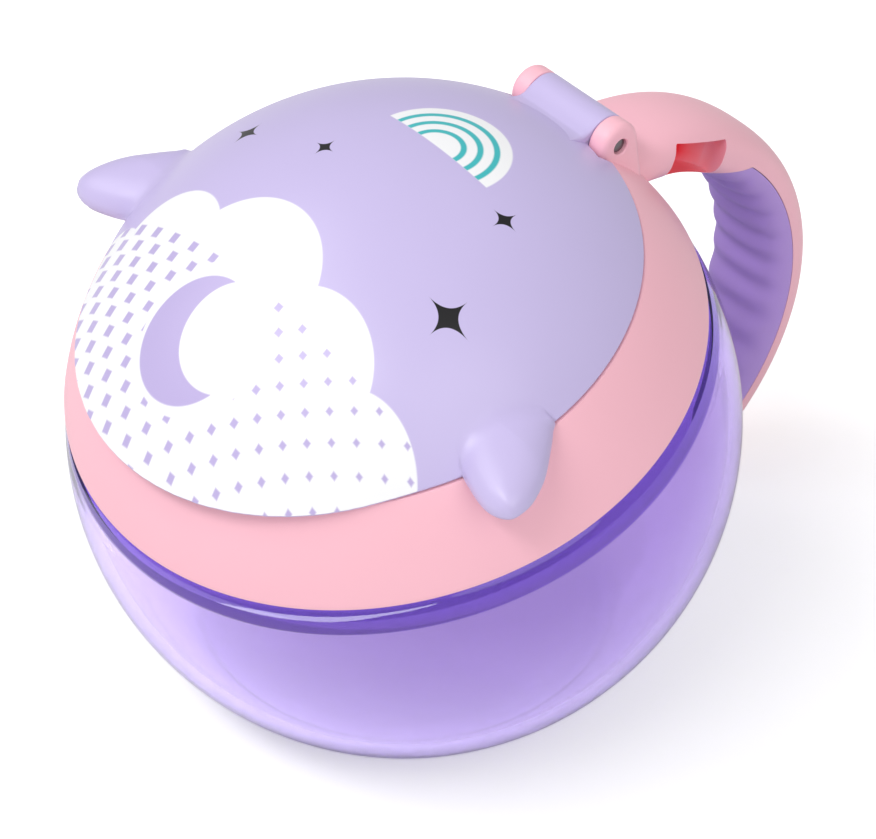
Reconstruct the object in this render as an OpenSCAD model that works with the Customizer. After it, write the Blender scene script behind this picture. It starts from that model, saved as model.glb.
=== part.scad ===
/* [Ball] */
// Outer radius of the ball-shaped bowl
ball_r = 54; // [52:0.5:60]
// Height of the ball's centre above the table
ball_height = 42; // [40:0.5:46]
// Forward lean of the mouth, the collar and the lid, in degrees
mouth_tilt = 13.7; // [8:0.1:18]
// Wall of the bowl
bowl_wall = 2.2; // [1.8:0.1:3]
// Thickness of the bowl's floor
floor_t = 2.6; // [2:0.1:4]
// Radius that rounds the outer edge of the foot
foot_round = 2.5; // [1:0.1:4]
// Radius that rounds the floor into the wall, inside
floor_round = 9; // [5:0.5:12]
// Wall of the threaded neck
neck_wall = 2.2; // [1.8:0.1:2.8]
// Depth of the thick band where the shoulder meets the wall
shoulder_t = 3.6; // [2.4:0.1:5]

/* [Collar] */
// How far the collar's skin stands proud of the bowl
collar_proud = 0.4; // [0:0.1:1]
// Where the collar's lower edge lies on the ball, in degrees above its equator
collar_edge_angle = 18.54; // [16:0.1:20]
// Where the collar's top face cuts the ball, in degrees above its equator
rim_angle = 36.56; // [35:0.1:38]
// Skin of the collar
collar_wall = 2.2; // [1.8:0.1:2.6]
// Thickness of the flange at the top of the collar
flange_t = 5; // [4:0.1:5.5]
// How far the flange reaches in from the collar's bore to the hand opening
flange_reach = 7.8; // [7:0.1:10]
// Depth of the seat that the lid's plug drops into
seat_depth = 2.6; // [2:0.1:3]
// Radial room for the screw thread between collar and neck
thread_room = 1.4; // [1.2:0.1:1.8]
// Thickness of the inner skirt that carries the collar's thread
skirt_wall = 2; // [1.6:0.1:2.6]

/* [Snack flaps] */
// Number of soft flaps
flap_count = 6; // [6:1:8]
// How far a flap's root lies inside the hand opening
flap_margin = 9; // [6:0.5:12]
// Thickness of a flap
flap_t = 1.2; // [0.8:0.1:1.4]
// Thickness of the clamped rim of the flap ring
flap_rim_t = 1.8; // [1.6:0.1:2.2]
// Width of the slit between two flaps
flap_slit = 0.5; // [0.4:0.1:1]
// Radius of the round hole that ends each slit, so that it doesn't tear
slit_stop_r = 1.6; // [1.6:0.1:2.4]
// Radius of the finger hole where the flaps meet
flap_hole_r = 2.5; // [1:0.5:5]

/* [Lid] */
// How far the lid's dome stands proud of the collar
lid_proud = 0.2; // [0:0.1:0.6]
// Wall of the lid
lid_wall = 1.8; // [1.5:0.1:2.4]
// Gap between the lid's edge and the collar's top face
lid_gap = 0.3; // [0.2:0.1:0.5]
// How much smaller the dome that forms the finger lip is, on the radius
lip_less = 3; // [2.6:0.1:4]
// How far the finger lip's dome is moved to the front
lip_shift = 8; // [6:0.5:9]
// Wall of the plug ring under the lid
plug_wall = 1.6; // [1.2:0.1:2.2]
// Clearance round the plug ring
plug_gap = 0.3; // [0.2:0.05:0.5]
// How far a side tab stands out from the edge of the lid
tab_reach = 9.1; // [6:0.1:11]
// Half of a side tab's thickness in the middle of its root
tab_root_half_t = 4; // [3:0.1:4.5]
// Radius of a side tab's rounded tip
tab_tip_r = 2; // [1.5:0.1:3]

/* [Hinge] */
// Diameter of the steel hinge pin
pin_d = 2.5; // [2:0.1:3]
// Running clearance round the pin, on the radius
pin_gap = 0.05; // [0.03:0.01:0.1]
// Height of the pin above the collar's top face
pin_rise = 1.3; // [1:0.1:2]
// How far the pin lies behind the lid's edge
pin_back = 0.9; // [0.5:0.1:1.5]
// Radius of the hinge knuckles
knuckle_r = 3.9; // [3.2:0.1:4.2]
// Width of each knuckle on the collar
knuckle_w = 3.4; // [2.4:0.1:4]
// Rounding of the outer edge of each knuckle
knuckle_round = 1.2; // [0.6:0.1:1.5]
// Length of the lid's hinge barrel
barrel_len = 15; // [12:0.5:18]
// Side clearance between the barrel and each knuckle
hinge_side_gap = 0.1; // [0.05:0.05:0.3]
// Radial room that the knuckles and the barrel turn in
hinge_room = 0.4; // [0.3:0.1:0.8]
// Radius of the hollow between the hinge barrel and the dome
lug_hollow_r = 8; // [5:0.5:12]
// How far the pin's ends sit inside the knuckles
pin_recess = 0.6; // [0.2:0.1:1]

/* [Handle] */
// How far the handle's root lies below the collar's top face
handle_root_drop = 11.2; // [9.6:0.2:12]
// How far the handle's upper bend is pulled out from the collar
handle_upper_reach = 29; // [26:0.5:32]
// How far the handle's lower bend is pulled out from the collar
handle_lower_reach = 31; // [28:0.5:34]
// How far the handle's tip hangs below the ball's centre
handle_drop = 48.3; // [44:0.5:50]
// Half of the handle's width at the root
handle_half_w = 9; // [8:0.1:9.5]
// Half of the handle's width at the tip
handle_tip_half_w = 8; // [6:0.1:9]
// Half of the handle's depth at the root
handle_half_t = 4.9; // [4.2:0.1:5.4]
// Half of the handle's depth at the tip
handle_tip_half_t = 5.6; // [4.5:0.1:6.2]
// Length of the relief pocket in each side of the arm
pocket_len = 12.4; // [8:0.2:13]
// Depth of each relief pocket from the side of the arm
pocket_depth = 6.5; // [4:0.5:7]
// Thickness of the roof over the relief pockets
pocket_roof = 2.5; // [2:0.1:3]
// Thickness of the lip under the relief pockets
pocket_lip = 0.8; // [0.6:0.1:1.5]
// Rounding of the far end of each relief pocket, where its back wall runs out to the side
pocket_run_out = 4; // [2:0.5:5]

/* [Grip] */
// Number of finger ribs along the grip
rib_count = 12; // [8:1:13]
// Height of the finger ribs
rib_h = 0.7; // [0.3:0.1:1]

/* [Hidden] */
$fn = 96;
collar_r = ball_r + collar_proud;
inner_r = ball_r - bowl_wall;
collar_edge_h = collar_r * sin(collar_edge_angle);
rim_h = collar_r * sin(rim_angle);
part_gap = 0.3;
face_gap = 0.1;
shoulder_h = collar_edge_h - part_gap;
flange_h = rim_h - flange_t;
neck_top_h = flange_h - flap_rim_t - 2 * face_gap;
bore_r = sqrt(collar_r * collar_r - flange_h * flange_h) - collar_wall;
mouth_r = bore_r - flange_reach;
neck_r = bore_r - thread_room;
neck_bore_r = neck_r - neck_wall;
flap_rim_r = bore_r - part_gap;
flap_h = flange_h - face_gap - flap_rim_t / 2;
flap_root_r = mouth_r - flap_margin;
flap_step = 360 / flap_count;
lid_r = collar_r + lid_proud;
lip_dome_r = lid_r - lip_less;
lid_edge_h = rim_h + lid_gap;
lid_edge_r = sqrt(lid_r * lid_r - lid_edge_h * lid_edge_h);
plug_r = mouth_r + plug_wall + plug_gap;
seat_r = plug_r + plug_gap;
pin_y = lid_edge_r + pin_back;
pin_z = rim_h + pin_rise;
knuckle_in = barrel_len / 2 + hinge_side_gap;
knuckle_out = knuckle_in + knuckle_w;
swing_r = knuckle_r + hinge_room;
handle_root_h = rim_h - handle_root_drop;
big = 3 * ball_r;

// Places a child in the frame of the leaning mouth, with its origin at the ball's centre
module on_mouth() translate([0, 0, ball_height]) rotate([mouth_tilt, 0, 0]) children();

// Half outline of a ball of radius r, cut flat at height -h, with its edge rounded by f
module cut_ball_outline(r, h, f) {
    x = sqrt((r - f) * (r - f) - (h - f) * (h - f));
    reach = 2 * r;
    translate([0, -h]) square([x, h]);
    translate([x, f - h]) circle(f);
    intersection() {
        circle(r);
        polygon([[0, 0], [x, f - h] * reach / (r - f), [reach, reach], [0, reach]]);
    }
}

module right_half() intersection() {
    children();
    translate([0, -big]) square([big, 2 * big]);
}

// Everything above height h in the frame of the leaning mouth
module above_mouth(h) on_mouth() translate([0, 0, h]) cylinder(h = big, r = big);

// ---- Bowl ----
module bowl_outside() {
    difference() {
        translate([0, 0, ball_height]) rotate_extrude()
            right_half() cut_ball_outline(ball_r, ball_height, foot_round);
        above_mouth(shoulder_h);
    }
    on_mouth() rotate_extrude() neck_outline();
}

module neck_outline() {
    lip = neck_wall / 2;
    translate([neck_bore_r, shoulder_h - shoulder_t])
        square([neck_wall, neck_top_h - lip - shoulder_h + shoulder_t]);
    translate([neck_bore_r + lip, neck_top_h - lip]) circle(lip);
}

// Room inside the ball, under a shallow crowned ceiling that leaves the thick shoulder band
module bowl_inside() {
    crown_r = 375;
    crown_h = shoulder_h - shoulder_t - sqrt(crown_r * crown_r - neck_bore_r * neck_bore_r);
    intersection() {
        translate([0, 0, ball_height]) rotate_extrude()
            right_half() cut_ball_outline(inner_r, ball_height - floor_t, floor_round);
        on_mouth() translate([0, 0, crown_h]) sphere(crown_r);
    }
    on_mouth() cylinder(h = big, r = neck_bore_r);
}

module bowl() color([0.62, 0.5, 0.85, 0.6]) difference() {
    bowl_outside();
    bowl_inside();
}

// ---- Flap ring and flaps ----
flap_corner_r = flap_root_r / cos(flap_step / 2);

// Round holes at the outer ends of the slits
module slit_stops() for (i = [0 : flap_count - 1])
    rotate([0, 0, (i + 0.5) * flap_step]) translate([flap_corner_r, 0, -1])
        cylinder(h = flap_rim_t + 2, r = slit_stop_r, $fn = 32);

module flap_ring() color([0.9, 0.88, 0.97]) on_mouth()
    translate([0, 0, flange_h - face_gap - flap_rim_t]) difference() {
        cylinder(h = flap_rim_t, r = flap_rim_r);
        rotate([0, 0, flap_step / 2]) translate([0, 0, -1])
            cylinder(h = flap_rim_t + 2, r = (flap_root_r + face_gap) / cos(flap_step / 2),
                     $fn = flap_count);
        slit_stops();
    }

// One flap: a triangle with its root on the ring, its sides set back by half a slit
module flap(i) {
    set_back = flap_slit / 2 / sin(flap_step / 2);
    half_w = (flap_root_r - set_back) * tan(flap_step / 2);
    color([0.9, 0.88, 0.97]) on_mouth() rotate([0, 0, i * flap_step])
        translate([0, 0, flap_h - flap_t / 2]) difference() {
            linear_extrude(flap_t)
                polygon([[set_back, 0], [flap_root_r, half_w], [flap_root_r, -half_w]]);
            translate([0, 0, -1]) cylinder(h = flap_t + 2, r = flap_hole_r);
            slit_stops();
        }
}

// ---- Collar ----
module ring_outline() {
    groove_r = bore_r + skirt_wall;
    difference() {
        right_half() circle(collar_r);
        translate([0, -big]) square([big, big + collar_edge_h]);
        translate([0, rim_h]) square([big, big]);
        square([mouth_r, big]);
        square([bore_r, flange_h]);
        translate([0, rim_h - seat_depth]) square([seat_r, big]);
        intersection() {
            circle(collar_r - collar_wall);
            translate([groove_r, 0]) square([big, flange_h - collar_wall]);
        }
    }
}

// Outline of a knuckle seen from the side, from the pin down into the collar
module knuckle_outline() {
    front_foot = flange_h - 1;
    back_foot = front_foot - 4;
    draft = 0.8;
    chamfer = 2;
    translate([pin_y, pin_z]) circle(knuckle_r);
    polygon([[pin_y - knuckle_r, pin_z], [pin_y + knuckle_r, pin_z],
             [pin_y + knuckle_r - draft, back_foot],
             [pin_y - knuckle_r + chamfer, front_foot]]);
}

// Stands an outline drawn in depth and height upright, from x0 to x1
module across(x0, x1) translate([x0, 0, 0]) rotate([90, 0, 90]) linear_extrude(x1 - x0) children();

// Plates whose insets and distances under the outer face lie on a quarter circle, skinned over
// to round the outer edge
module knuckle() difference() {
    hull() for (a = [0 : 30 : 90])
        across(knuckle_in, knuckle_out - knuckle_round * (1 - cos(a)))
            offset(delta = -knuckle_round * (1 - sin(a))) knuckle_outline();
    sphere(collar_r - collar_wall / 2);
}

module pin_hole(r, half) translate([-half, pin_y, pin_z]) rotate([0, 90, 0])
    cylinder(h = 2 * half, r = r);

module collar() color([0.98, 0.76, 0.81]) on_mouth() difference() {
    union() {
        rotate_extrude() ring_outline();
        for (side = [0, 1]) mirror([side, 0, 0]) knuckle();
    }
    pin_hole(swing_r, knuckle_in);
    pin_hole(pin_d / 2 + pin_gap, big);
}

// ---- Handle ----
// Corners of the curve that the handle follows, as [depth, height] from the ball's centre; the
// two bends sit bend_drop under the root and bend_rise over the tip
handle_sink = 1.9;
bend_drop = 13.2;
bend_rise = 12.1;
handle_path = [
    [collar_r - handle_sink, handle_root_h],
    [collar_r + handle_upper_reach, handle_root_h - bend_drop],
    [collar_r + handle_lower_reach, bend_rise - handle_drop],
    [collar_r - handle_sink, -handle_drop]
];
// The curve runs from 0 at the root to 1 at the tip; the arm starts inside the collar, the grip
// starts at grip_start and takes the whole inner half from grip_full on
handle_start = -0.08;
grip_start = 0.1;
grip_full = 0.26;
steps_per_rib = 8;
grip_steps = rib_count * steps_per_rib;
arm_steps = 12;
tip_round = 0.05;
tip_flat = 0.2;
section_power = 2.6;
half_points = 7;
split_top = -78;

function bezier(p, t) = let(s = 1 - t)
    s * s * s * p[0] + 3 * s * s * t * p[1] + 3 * s * t * t * p[2] + t * t * t * p[3];
function bezier_slope(p, t) = let(s = 1 - t)
    3 * s * s * (p[1] - p[0]) + 6 * s * t * (p[2] - p[1]) + 3 * t * t * (p[3] - p[2]);
function unit(v) = v / norm(v);
function outward(t) = let(d = unit(bezier_slope(handle_path, t))) [-d[1], d[0]];
function mix(a, b, k) = a + (b - a) * min(1, max(0, k));
function tip_scale(t) = t < 1 - tip_round ? 1
    : sqrt(1 - pow((t - 1 + tip_round) / tip_round, 2) * (1 - tip_flat * tip_flat));
function half_width(t) = mix(handle_half_w, handle_tip_half_w, t) * tip_scale(t);
function half_depth(t) = mix(handle_half_t, handle_tip_half_t, t) * tip_scale(t);
// Angle on the section at which the pink frame ends and the soft grip begins
function split_angle(t) = mix(split_top, 0, (t - grip_start) / (grip_full - grip_start));
function rounded(x) = sign(x) * pow(abs(x), 2 / section_power);
function split_depth(t) = half_depth(t) * rounded(sin(split_angle(t)));
function rib_phase(t) = 360 * rib_count * (t - grip_start) / (1 - grip_start);
function rib(t) = rib_h / handle_half_t * (0.5 - 0.5 * cos(rib_phase(t)));
function section_point(t, a, swell) = let(
    c = bezier(handle_path, t), n = outward(t), s = split_depth(t),
    v = s + (half_depth(t) * rounded(sin(a)) - s) * swell)
    [half_width(t) * rounded(cos(a)), c[0] + n[0] * v, c[1] + n[1] * v];
function frame_ring(t) = let(a0 = split_angle(t)) [for (i = [0 : 2 * half_points])
    section_point(t, a0 + (180 - 2 * a0) * i / (2 * half_points), 1)];
function grip_ring(t) = let(a0 = split_angle(t)) [for (i = [0 : 2 * half_points])
    section_point(t, 180 - a0 + (180 + 2 * a0) * i / (2 * half_points), 1 - rib(t))];
grip_first = grip_start + 0.01;
function grip_times() = [for (i = [0 : grip_steps]) mix(grip_first, 1, i / grip_steps)];
function arm_times() = [for (i = [0 : arm_steps - 1])
    handle_start + (grip_first - handle_start) * i / arm_steps];

// Skins a list of rings, each with the same number of points, and closes both ends
module skin(rings) {
    n = len(rings[0]);
    m = len(rings);
    sides = [for (j = [0 : m - 2], i = [0 : n - 1])
        let(k = (i + 1) % n, a = j * n + i, b = j * n + k) each [[a, b, b + n], [a, b + n, a + n]]];
    ends = [[for (i = [n - 1 : -1 : 0]) i], [for (i = [0 : n - 1]) (m - 1) * n + i]];
    polyhedron([for (r = rings) each r], concat(sides, ends));
}

// Relief pocket in the side of the arm: square at the root end, run out at the far end
pocket_place = 0.096;

module pocket_plan(deep) {
    square([deep, pocket_len - pocket_run_out]);
    translate([pocket_run_out, 0]) square([deep - pocket_run_out, pocket_len]);
    translate([pocket_run_out, pocket_len - pocket_run_out]) circle(pocket_run_out);
}

module pocket() {
    mid = bezier(handle_path, pocket_place);
    slope = bezier_slope(handle_path, pocket_place);
    translate([handle_half_w - pocket_depth, mid[0], mid[1]])
        rotate([atan2(slope[1], slope[0]), 0, 0])
            translate([0, -pocket_len / 2, pocket_lip - handle_half_t])
                linear_extrude(2 * handle_half_t - pocket_lip - pocket_roof)
                    pocket_plan(2 * pocket_depth);
}

module handle_frame() color([0.96, 0.71, 0.77]) on_mouth() difference() {
    skin([for (t = concat(arm_times(), grip_times())) frame_ring(t)]);
    sphere(collar_r);
    pin_hole(swing_r, knuckle_out);
    for (side = [0, 1]) mirror([side, 0, 0]) {
        across(knuckle_in, knuckle_out) knuckle_outline();
        pocket();
    }
}

module handle_grip() color([0.62, 0.54, 0.78]) on_mouth()
    skin([for (t = grip_times()) grip_ring(t)]);

// ---- Hinge pin ----
module hinge_pin() color([0.75, 0.75, 0.77]) on_mouth() pin_hole(pin_d / 2, knuckle_out - pin_recess);

// ---- Lid ----
// Balls that a side tab is skinned over, as [out from the lid's edge, depth, height over the
// edge plane, radius]: a thick root, a leading edge swept to the front, a rounded tip and a
// nearly straight trailing edge
tab_tip_out = tab_reach - tab_tip_r;
tab_balls = [
    [-1.6, -8.6, 0.9, tab_root_half_t],
    [1, -10, 0.6, tab_root_half_t * 0.85],
    [3, -11, 0.5, tab_root_half_t * 0.68],
    [-0.8, -2.2, 0.7, 1.5],
    [1.4, -4.4, 0.6, 1.8],
    [3.4, -6.9, 0.5, 1.9],
    [tab_tip_out - 1.8, -9.2, 0.3, tab_tip_r],
    [tab_tip_out - 0.3, -12.2, 0.1, tab_tip_r],
    [tab_tip_out, -14.7, 0, tab_tip_r],
    [-1.8, -14.2, 0.4, 1.9]
];

module tab() difference() {
    hull() for (b = tab_balls)
        translate([lid_edge_r + b[0], b[1], lid_edge_h + b[2]]) sphere(b[3], $fn = 28);
    intersection() {
        sphere(collar_r + part_gap);
        cylinder(h = lid_edge_h, r = big);
    }
    sphere(lid_r - lid_wall / 2);
}

// Half outline of the lug that ties the hinge barrel to the dome: a hollow of radius
// lug_hollow_r runs tangent to the dome and to the barrel
lug_sink = 0.6;
lug_foot = 0.5;

module lug_outline() {
    pin_far = norm([pin_y, pin_z]);
    to_dome = lid_r + lug_hollow_r;
    to_pin = knuckle_r + lug_hollow_r;
    along = (to_dome * to_dome - to_pin * to_pin + pin_far * pin_far) / (2 * pin_far);
    aside = sqrt(to_dome * to_dome - along * along);
    hollow = (along * [pin_y, pin_z] + aside * [-pin_z, pin_y]) / pin_far;
    touch = hollow * lid_r / to_dome;
    difference() {
        polygon([[touch[0], lid_edge_h], touch, hollow, [pin_y, pin_z],
                 [pin_y - knuckle_r + lug_foot, lid_edge_h]]);
        translate(hollow) circle(lug_hollow_r);
        circle(lid_r - lid_wall / 2 - lug_sink);
    }
}

module dome_shell() difference() {
    intersection() {
        union() {
            sphere(lid_r);
            translate([0, -lip_shift, 0]) sphere(lip_dome_r);
        }
        translate([0, 0, lid_edge_h]) cylinder(h = big, r = big);
    }
    sphere(lid_r - lid_wall);
}

module lid() color([0.82, 0.77, 0.93]) on_mouth() difference() {
    union() {
        difference() {
            union() {
                dome_shell();
                for (side = [0, 1]) mirror([side, 0, 0]) tab();
                plug_ring();
            }
            for (side = [0, 1]) mirror([side, 0, 0]) knuckle_room();
        }
        intersection() {
            rotate_extrude() lug_outline();
            translate([-barrel_len / 2, 0, 0]) cube([barrel_len, big, big]);
        }
        pin_hole(knuckle_r, barrel_len / 2);
    }
    pin_hole(pin_d / 2 + pin_gap, knuckle_out);
}

// Room in the lid's edge for a collar knuckle
module knuckle_room() translate([barrel_len / 2, pin_y, pin_z]) rotate([0, 90, 0])
    cylinder(h = knuckle_w + 3 * part_gap, r = swing_r);

module plug_ring() intersection() {
    translate([0, 0, rim_h - seat_depth + part_gap]) difference() {
        cylinder(h = big, r = plug_r);
        translate([0, 0, -1]) cylinder(h = 2 * big, r = plug_r - plug_wall);
    }
    sphere(lid_r - lid_wall / 2);
}

bowl();
flap_ring();
flap(0);  // flap_1
flap(1);  // flap_2
flap(2);  // flap_3
flap(3);  // flap_4
flap(4);  // flap_5
flap(5);  // flap_6
collar();
handle_frame();
handle_grip();
hinge_pin();
lid();
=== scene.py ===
# %% [markdown]
# # A ball-shaped snack cup
#
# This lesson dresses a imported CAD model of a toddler's snack cup: a translucent ball with a flat
# foot, a screw collar that leans forward, a domed lid with two finger tabs, and a side handle
# with a soft ribbed grip. The solids say where everything is. Here each one gets its smooth
# skin, its small roundings and its finish.

# %% Load the frame
import math

import bmesh
import bpy
import numpy as np
from mathutils import Matrix, Vector
from mathutils.geometry import tessellate_polygon


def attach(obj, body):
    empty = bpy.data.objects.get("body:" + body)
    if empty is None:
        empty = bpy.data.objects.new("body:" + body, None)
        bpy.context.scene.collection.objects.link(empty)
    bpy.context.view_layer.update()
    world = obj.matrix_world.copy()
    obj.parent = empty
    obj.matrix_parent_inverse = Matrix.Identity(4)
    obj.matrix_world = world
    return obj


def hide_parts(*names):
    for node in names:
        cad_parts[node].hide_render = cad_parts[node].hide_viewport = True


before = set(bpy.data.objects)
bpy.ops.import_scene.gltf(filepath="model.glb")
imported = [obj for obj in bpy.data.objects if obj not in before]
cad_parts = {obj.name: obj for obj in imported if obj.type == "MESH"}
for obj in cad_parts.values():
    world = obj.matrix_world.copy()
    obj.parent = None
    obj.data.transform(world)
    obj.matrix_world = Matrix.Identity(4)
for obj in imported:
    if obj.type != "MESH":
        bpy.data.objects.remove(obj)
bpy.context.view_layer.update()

# %% [markdown]
# The mouth of the cup leans forward, and everything but the ball's foot is round about that
# leaning axis. So shapes are worked out in millimetres in the frame of the mouth, whose origin
# is the ball's centre, and `place` carries them to where the cup stands, in metres. Every
# finished object sits at the origin with its place in its mesh.

# %% The frame of the leaning mouth
LEAN = math.radians(13.7)
BALL_HEIGHT = 42.0
BALL_R = 54.0
COLLAR_R = 54.4
LID_R = 54.6
EDGE_H = 32.7
RIM_H = 32.4
PIN = (44.625, 33.7)


def place(points, lean=1.0):
    """Points in mm in the mouth's frame, an (n, 3) array, as metres in the cup's frame."""
    p = np.asarray(points, float).reshape(-1, 3)
    c, s = np.cos(LEAN * np.asarray(lean)), np.sin(LEAN * np.asarray(lean))
    return np.stack([p[:, 0], p[:, 1] * c - p[:, 2] * s, p[:, 1] * s + p[:, 2] * c + BALL_HEIGHT], 1) / 1000


print("top of the lid:", place([[0, 0, LID_R]])[0])

# %% [markdown]
# Nearly every piece is a stack of rings with quads between them: a lathe turns one outline, the
# lid's rings change with the angle, and a knuckle has rings round its edge and in its bore. One
# function makes a mesh of any such stack, welds its poles and turns its faces outwards.

# %% Rings to a mesh


def shown(name, data):
    """A new object in the scene, with this data."""
    obj = bpy.data.objects.new(name, data)
    bpy.context.scene.collection.objects.link(obj)
    return obj


def smooth(mesh, sharp=35.0):
    """Smooth shading over all but the edges sharper than this many degrees."""
    mesh.shade_smooth()
    mesh.set_sharp_from_angle(angle=math.radians(sharp))


def finish_mesh(obj, sharp=35.0):
    """Welds doubles, closes holes, points the faces outwards and smooths all but sharp edges."""
    bm = bmesh.new()
    bm.from_mesh(obj.data)
    bmesh.ops.remove_doubles(bm, verts=bm.verts, dist=2e-6)
    bmesh.ops.dissolve_degenerate(bm, dist=1e-7, edges=bm.edges)
    bmesh.ops.holes_fill(bm, edges=bm.edges, sides=0)
    bmesh.ops.recalc_face_normals(bm, faces=bm.faces)
    if bm.calc_volume(signed=True) < 0:
        bmesh.ops.reverse_faces(bm, faces=bm.faces)
    bm.to_mesh(obj.data)
    bm.free()
    smooth(obj.data, sharp)
    return obj


def mesh_object(name, points, faces):
    mesh = bpy.data.meshes.new(name)
    mesh.from_pydata([tuple(p) for p in points], [], faces)
    return shown(name, mesh)


def quads(j, k, n):
    """Faces between rings number j and k, of n points each."""
    a = np.arange(n)
    b = (a + 1) % n
    return np.stack([j * n + a, j * n + b, k * n + b, k * n + a], 1).tolist()


def stack(name, rings, loop=False, sharp=35.0):
    """A mesh of rings (m, n, 3), already placed in metres; loop joins the last ring to the first."""
    rings = np.asarray(rings, float)
    m, n = rings.shape[:2]
    faces = []
    for j in range(m if loop else m - 1):
        faces += quads(j, (j + 1) % m, n)
    return finish_mesh(mesh_object(name, rings.reshape(-1, 3), faces), sharp)


def join(objects, name):
    """One object of several, each a closed shell of its own."""
    bm = bmesh.new()
    for obj in objects:
        bm.from_mesh(obj.data)
        bpy.data.objects.remove(obj)
    mesh = bpy.data.meshes.new(name)
    bm.to_mesh(mesh)
    bm.free()
    smooth(mesh)
    return shown(name, mesh)


def said(obj):
    low, high = obj.bound_box[0], obj.bound_box[6]
    size = [round(1000 * (h - l), 1) for l, h in zip(low, high)]
    print(f"{obj.name}: {len(obj.data.polygons)} faces, {size} mm")
    return obj


# %% [markdown]
# An outline for the lathe is a list of corners, each with the radius that rounds it. Moulded
# plastic has no truly sharp edge: a rounding of a few tenths of a millimetre is what catches
# the light along a rim.

# %% Outlines with rounded corners


def arc(centre, r, start, end, count):
    """Points on a circle, from start to end in degrees."""
    a = np.radians(np.linspace(start, end, count))
    return np.stack([centre[0] + r * np.cos(a), centre[1] + r * np.sin(a)], 1).tolist()


def rounded(corners, count=5):
    """A polyline through corners (x, z, radius), each corner turned into a short arc."""
    out = []
    for i, (x, z, r) in enumerate(corners):
        p = np.array([x, z], float)
        if r == 0 or i in (0, len(corners) - 1):
            out.append([x, z])
            continue
        to_last = np.array(corners[i - 1][:2]) - p
        to_next = np.array(corners[i + 1][:2]) - p
        u, v = to_last / np.linalg.norm(to_last), to_next / np.linalg.norm(to_next)
        half = math.acos(np.clip(u @ v, -1, 1)) / 2
        back = min(r / math.tan(half), 0.48 * np.linalg.norm(to_last), 0.48 * np.linalg.norm(to_next))
        start, end = p + u * back, p + v * back
        for k in np.linspace(0, 1, count):
            out.append(((1 - k) ** 2 * start + 2 * k * (1 - k) * p + k * k * end).tolist())
    return out


def plain(points):
    """Corners with no rounding."""
    return [(x, z, 0.0) for x, z in points]


def lathe(name, outline, leans=None, segments=384, loop=False, sharp=35.0):
    """Turns an outline of (distance from the axis, height) in mm; leans says how far each ring leans.

    A distance is one number, or one for every segment."""
    a = np.linspace(0, 2 * np.pi, segments, endpoint=False)
    leans = np.ones(len(outline)) if leans is None else leans
    rings = [place(np.stack([r * np.cos(a), r * np.sin(a), np.full(segments, z)], 1), lean)
             for (r, z), lean in zip(outline, leans)]
    return stack(name, rings, loop, sharp)


# %% [markdown]
# ## The bowl
#
# The bowl is one thin shell of tinted plastic: a ball with a flat foot, a thick shoulder with a
# cove where the collar's edge comes down, and a neck for the screw collar. The foot is level but
# the shoulder leans, so it isn't one turned shape. A ball stays a ball whichever way its rings
# lie on it, so the rings lie level at the foot and lean more and more on the way up.

# %% Bowl
FOOT_ROUND, FLOOR_T, FLOOR_ROUND = 6.0, 2.6, 9.0
INNER_R = 51.8
SHOULDER_H, NECK_R, NECK_BORE_R, NECK_TOP, NECK_EDGE = 17.0, 43.4, 41.2, 25.4, 1.1
LEVEL_TO, FULL_LEAN_FROM = -30, 4


def foot(r, depth, f):
    """Outline from the axis to the ball, flat at -depth with a rounding f, and where it ends."""
    x = math.sqrt((r - f) ** 2 - (depth - f) ** 2)
    up = math.degrees(math.atan2(f - depth, x))
    flat = [[0, -depth], [x * 0.35, -depth], [x * 0.7, -depth], [x * 0.93, -depth]]
    return flat + arc((x, f - depth), f, -90, up, 12), up


out_foot, out_up = foot(BALL_R, BALL_HEIGHT, FOOT_ROUND)
in_foot, in_up = foot(INNER_R, BALL_HEIGHT - FLOOR_T, FLOOR_ROUND)
out_top = math.degrees(math.asin(SHOULDER_H / BALL_R))
in_top = 12.5
out_wall = arc((0, 0), BALL_R, out_up, out_top, 90)[1:-7]
in_wall = arc((0, 0), INNER_R, in_top, in_up, 80)
cove = arc((52.2, 17.6), 2.6, -106, -170, 10)
neck = rounded(
    plain([out_wall[-1], (51.75, 15.0)] + cove[1:-1])
    + [(49.6, SHOULDER_H, 0.2), (NECK_R, SHOULDER_H, 0.6)]
    + plain([(NECK_R, NECK_TOP - NECK_EDGE)])
    + plain(arc((NECK_R - NECK_EDGE, NECK_TOP - NECK_EDGE), NECK_EDGE, 0, 180, 13)[1:])
    + [(NECK_BORE_R, 13.4, 0.8)] + plain([in_wall[0]]))[1:-1]
outline = out_foot + out_wall[:-1] + neck + in_wall + in_foot[::-1][1:]
height = np.array([z for _, z in outline])
leans = np.clip((height - LEVEL_TO) / (FULL_LEAN_FROM - LEVEL_TO), 0, 1)
leans = leans * leans * (3 - 2 * leans)
bowl = said(lathe("bowl_shell", outline, leans))

# %% [markdown]
# ## The collar
#
# The collar is a hollow ring: its skin follows the ball, its inner skirt carries the thread, and
# its top has a seat that the lid's plug drops into. It is one outline, turned about the leaning
# axis. The two hinge knuckles are moulded on it.

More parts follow.
